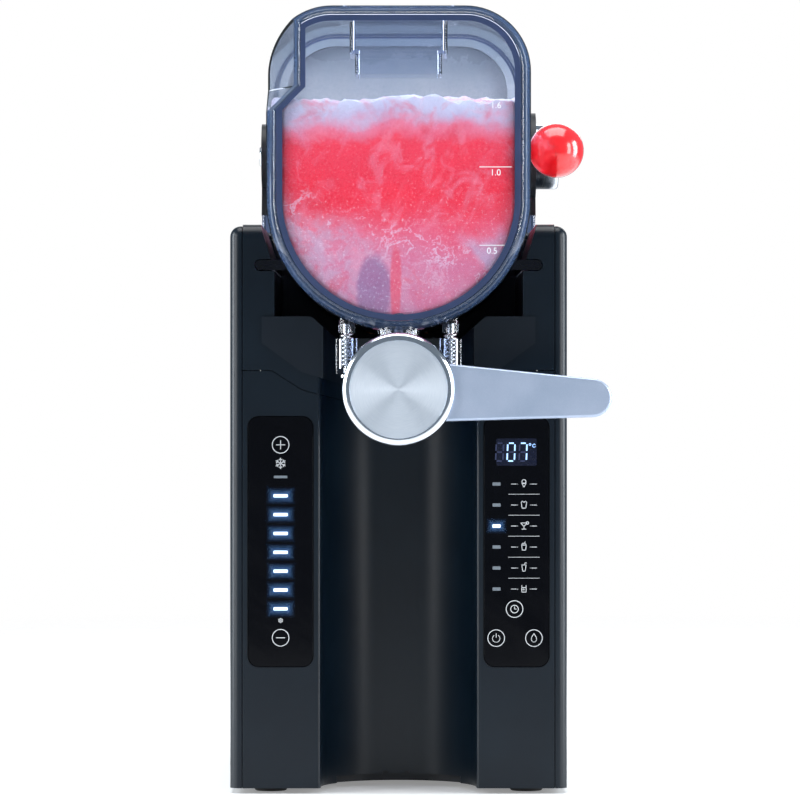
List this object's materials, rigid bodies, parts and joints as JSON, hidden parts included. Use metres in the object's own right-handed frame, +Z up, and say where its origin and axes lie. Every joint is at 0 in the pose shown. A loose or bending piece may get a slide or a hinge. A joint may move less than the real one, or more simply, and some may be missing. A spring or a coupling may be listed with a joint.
{
  "type": "slush drink machine",
  "caption": "Tabletop slush machine: a clear vessel slides over a chilled drum with an auger, and a side lever lifts a sprung valve over a cup channel.",
  "frame": {"origin": "on the table, under the middle of the housing", "axes": "+Z up, +X to the machine's right seen from the front, +Y from the front to the back"},
  "size_m": [0.2086, 0.365, 0.433],
  "materials": {
    "body_plastic": "satin, fine grain",
    "body_accent": "satin",
    "panel_glass": "polished",
    "clear_plastic": "polished, clear with a smoky blue tint",
    "light_plastic": "satin",
    "seal_rubber": "matte",
    "foot_rubber": "matte",
    "drum_steel": "turned",
    "spring_steel": "bright",
    "chrome_trim": "polished",
    "brushed_disc": "spun brushed",
    "satin_metal": "satin",
    "red_knob": "polished",
    "black_plastic": "satin",
    "auger_plastic": "satin",
    "seat_plastic": "satin",
    "copper": "drawn tube",
    "fin_aluminium": "mill",
    "cast_metal": "cast",
    "compressor_paint": "satin",
    "motor_steel": "plated",
    "board_green": "solder mask",
    "light_guide": "frosted",
    "screw_steel": "zinc plated",
    "bearing_plastic": "smooth"
  },
  "bodies": {
    "housing": {"base_pan": "black_plastic", "rubber_feet": "foot_rubber", "right_side_shell": "body_plastic", "left_side_shell": "body_plastic", "front_fascia": "body_plastic", "upper_front": "body_plastic", "tap_surround": "body_accent", "cradle": "black_plastic", "top_deck": "body_plastic", "tower_shell": "body_plastic", "face_plate": "light_plastic", "vessel_gasket": "seal_rubber", "rear_cover": "black_plastic", "rear_cover_screws": "screw_steel", "left_control_glass": "panel_glass", "right_control_glass": "panel_glass", "left_light_guides": "light_guide", "right_light_guides": "light_guide", "left_panel_board": "board_green", "right_panel_board": "board_green", "lock_bushes": "bearing_plastic", "evaporator_drum": "drum_steel", "shaft_bushes": "bearing_plastic", "evaporator_coil": "copper", "drum_screws": "screw_steel", "gearbox": "cast_metal", "auger_motor": "motor_steel", "compressor": "compressor_paint", "compressor_grommets": "foot_rubber", "compressor_bolts": "screw_steel", "condenser_fins": "fin_aluminium", "condenser_tube": "copper", "fan_frame": "black_plastic", "filter_drier": "copper", "refrigerant_pipes": "copper", "main_board": "board_green", "power_inlet": "black_plastic", "inlet_screws": "screw_steel"},
    "fan": {"fan_rotor": "black_plastic"},
    "auger_drive": {"auger": "auger_plastic", "drive_shaft": "drum_steel"},
    "vessel_body": {"vessel": "clear_plastic", "lid_pin": "spring_steel", "tap_posts": "spring_steel", "tap_springs": "spring_steel"},
    "lid": {"filler_lid": "clear_plastic"},
    "handle": {"cam_shaft": "spring_steel", "handle_bezel": "chrome_trim", "handle_arm": "satin_metal", "handle_face": "brushed_disc"},
    "tap": {"tap_yoke": "clear_plastic", "valve_pin": "spring_steel", "valve_poppet": "seat_plastic", "valve_seal": "seal_rubber"},
    "lock": {"lock_shaft": "spring_steel", "lock_cams": "black_plastic", "lock_hub": "chrome_trim", "lock_arm": "chrome_trim", "lock_ball": "red_knob", "lock_cap": "chrome_trim"}
  },
  "joints": [
    {"name": "fan_spin", "type": "hinge", "parent": "housing", "child": "fan", "pos_m": [0, 0.1195, 0.1175], "axis": [0, 1, 0], "continuous": true},
    {"name": "auger_spin", "type": "hinge", "parent": "housing", "child": "auger_drive", "pos_m": [0, -0.1255, 0.327], "axis": [0, 1, 0], "continuous": true},
    {"name": "vessel_slide", "type": "slide", "parent": "housing", "child": "vessel_body", "axis": [0, -1, 0], "range_m": [0, 0.21]},
    {"name": "lid_hinge", "type": "hinge", "parent": "vessel_body", "child": "lid", "pos_m": [0, -0.1156, 0.4316], "axis": [-1, 0, 0], "range_deg": [0, 105]},
    {"name": "handle_turn", "type": "hinge", "parent": "vessel_body", "child": "handle", "pos_m": [0, -0.191, 0.2227], "axis": [0, 1, 0], "range_deg": [0, 60], "stiffness_Nm_per_rad": 0.3, "springref_deg": -34.38},
    {"name": "tap_lift", "type": "slide", "parent": "vessel_body", "child": "tap", "axis": [0, 0, 1], "range_m": [0, 0.0061], "deforming": ["tap_springs"]},
    {"name": "lock_turn", "type": "hinge", "parent": "housing", "child": "lock", "pos_m": [0, 0.02, 0.361], "axis": [-1, 0, 0], "range_deg": [0, 85]}
  ],
  "couplings": [
    {"joint": "tap_lift", "follows": "handle_turn", "m_per_rad": 0.0057296}
  ]
}
